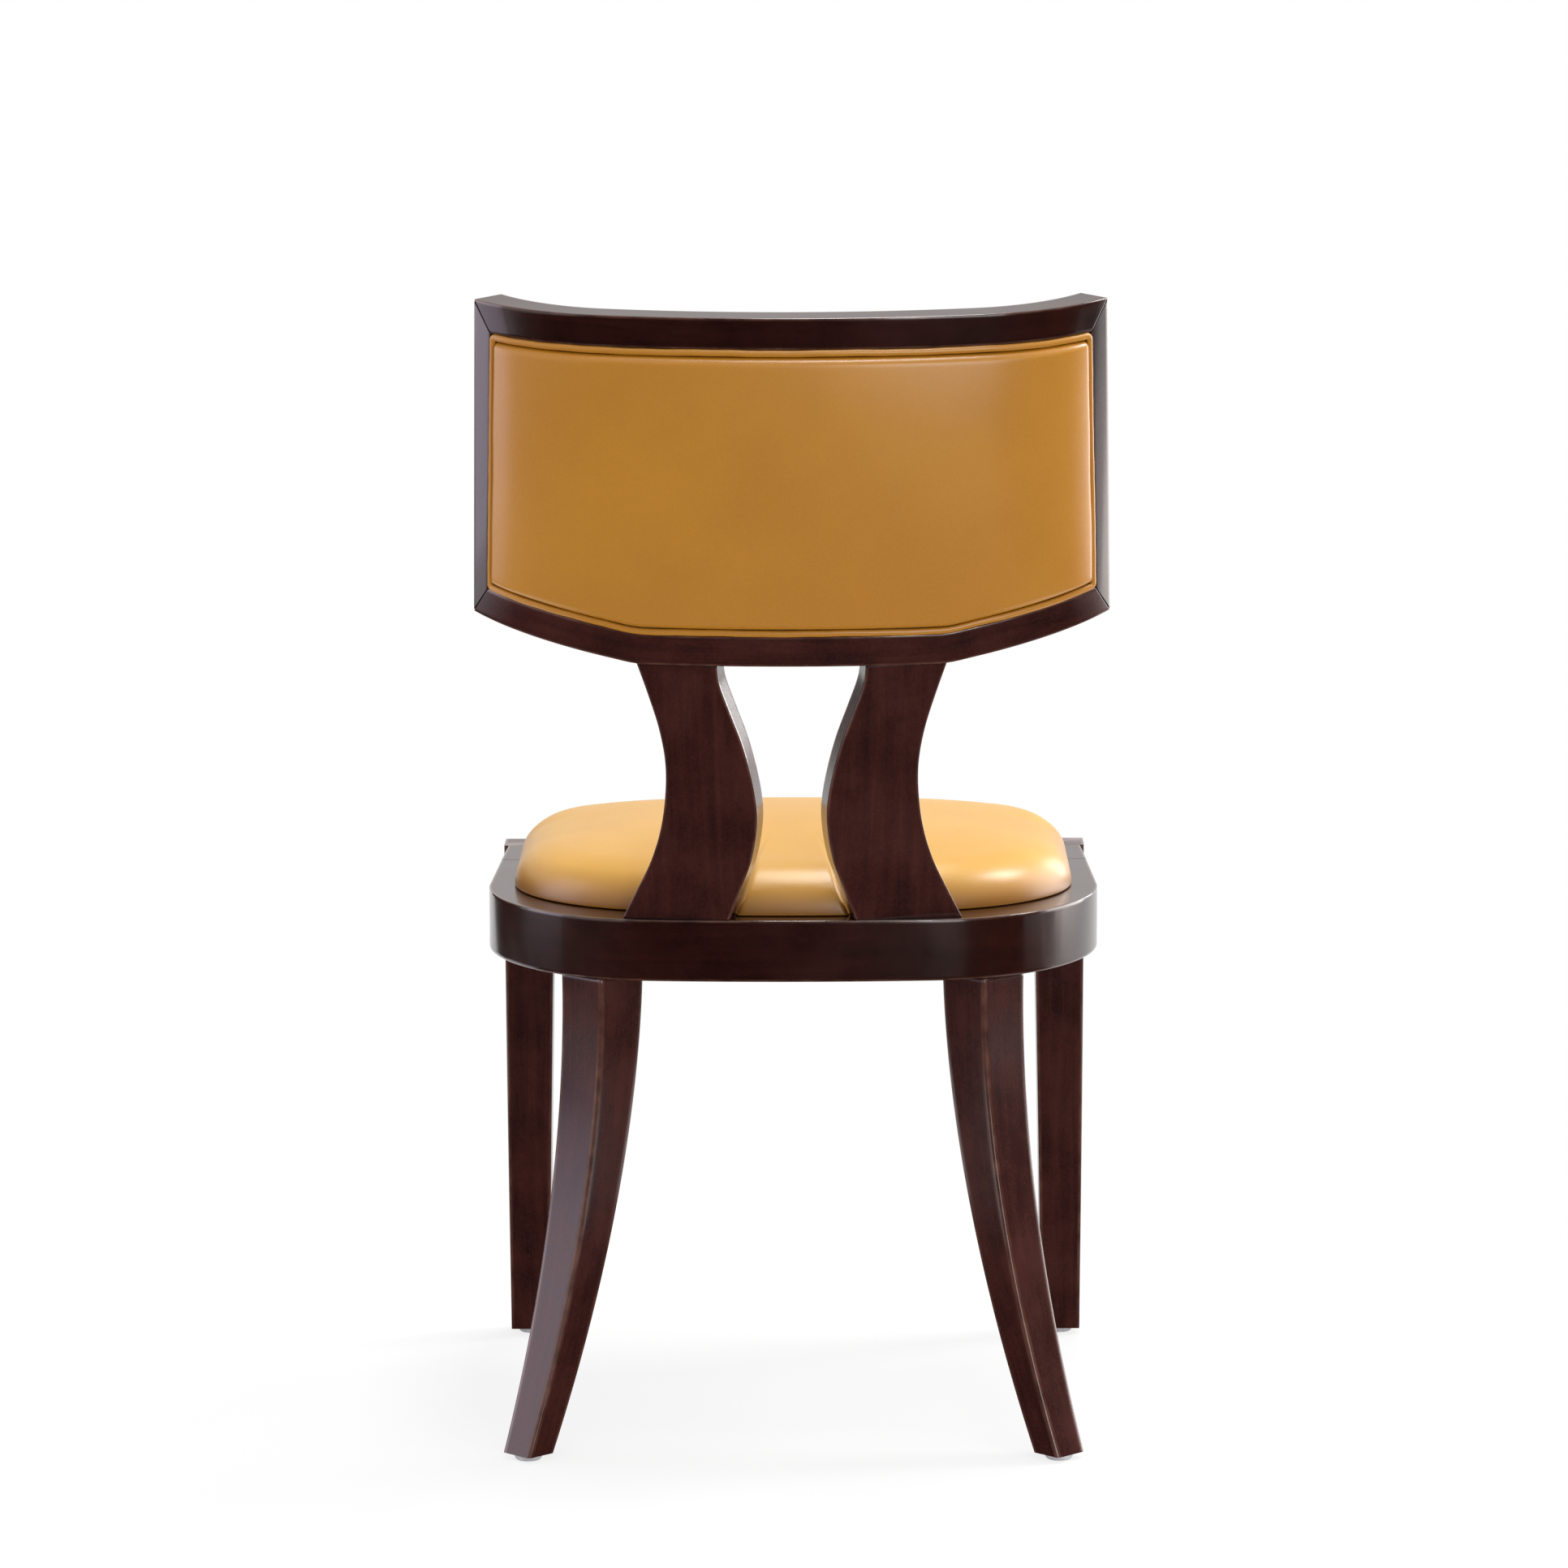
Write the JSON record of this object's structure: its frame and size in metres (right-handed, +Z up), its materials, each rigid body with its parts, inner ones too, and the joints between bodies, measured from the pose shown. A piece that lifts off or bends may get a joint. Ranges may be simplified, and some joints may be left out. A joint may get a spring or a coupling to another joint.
{
  "type": "klismos dining chair",
  "caption": "Dining chair with a curved leather back on waisted splats, a drop-in leather seat in a bent frame and sabre legs.",
  "frame": {"origin": "on the floor, below the middle of the chair's box", "axes": "+Z up, -Y towards the front of the chair, +X the sitter's left"},
  "size_m": [0.507, 0.5566, 0.9393],
  "materials": {
    "wood": "dark espresso lacquer, semi-gloss",
    "raw_wood": "bare beech",
    "plywood": "bare birch plywood",
    "leather": "golden camel, satin",
    "foam": "cut polyurethane foam",
    "lining": "black non-woven",
    "steel": "zinc-plated",
    "glide_plastic": "translucent grey-white nylon"
  },
  "bodies": {
    "root": {"crest_rail": "wood", "back_bottom_rail": "wood", "back_stile_left": "wood", "back_stile_right": "wood", "splat_left": "wood", "splat_right": "wood", "seat_rail_rear": "wood", "seat_side_left": "wood", "seat_side_right": "wood", "seat_rail_front": "wood", "front_leg_left": "wood", "front_leg_right": "wood", "rear_leg_left": "wood", "rear_leg_right": "wood", "mitre_dowel_upper_left": "raw_wood", "mitre_dowel_upper_right": "raw_wood", "mitre_dowel_lower_left": "raw_wood", "mitre_dowel_lower_right": "raw_wood", "splat_dowel_foot_inner_left": "raw_wood", "splat_dowel_foot_inner_right": "raw_wood", "splat_dowel_foot_outer_left": "raw_wood", "splat_dowel_foot_outer_right": "raw_wood", "splat_dowel_head_inner_left": "raw_wood", "splat_dowel_head_inner_right": "raw_wood", "splat_dowel_head_outer_left": "raw_wood", "splat_dowel_head_outer_right": "raw_wood", "leg_dowel_outer_left": "raw_wood", "leg_dowel_outer_right": "raw_wood", "leg_dowel_inner_left": "raw_wood", "leg_dowel_inner_right": "raw_wood", "corner_block_front_left": "raw_wood", "corner_block_front_right": "raw_wood", "corner_block_rear_left": "raw_wood", "corner_block_rear_right": "raw_wood", "back_board": "plywood", "seat_board": "plywood", "back_rear_cover": "leather", "back_rear_piping": "leather", "back_front_cover": "leather", "back_front_piping": "leather", "seat_cover": "leather", "back_rear_foam": "foam", "back_front_foam": "foam", "seat_foam": "foam", "dust_cover": "lining", "seat_screw_front_left": "steel", "seat_screw_front_right": "steel", "seat_screw_rear_left": "steel", "seat_screw_rear_right": "steel", "leg_bolt_left": "steel", "leg_bolt_right": "steel", "leg_washer_left": "steel", "leg_washer_right": "steel", "leg_nut_left": "steel", "leg_nut_right": "steel", "foot_glide_front_left": "glide_plastic", "foot_glide_front_right": "glide_plastic", "foot_glide_rear_left": "glide_plastic", "foot_glide_rear_right": "glide_plastic"}
  },
  "joints": []
}
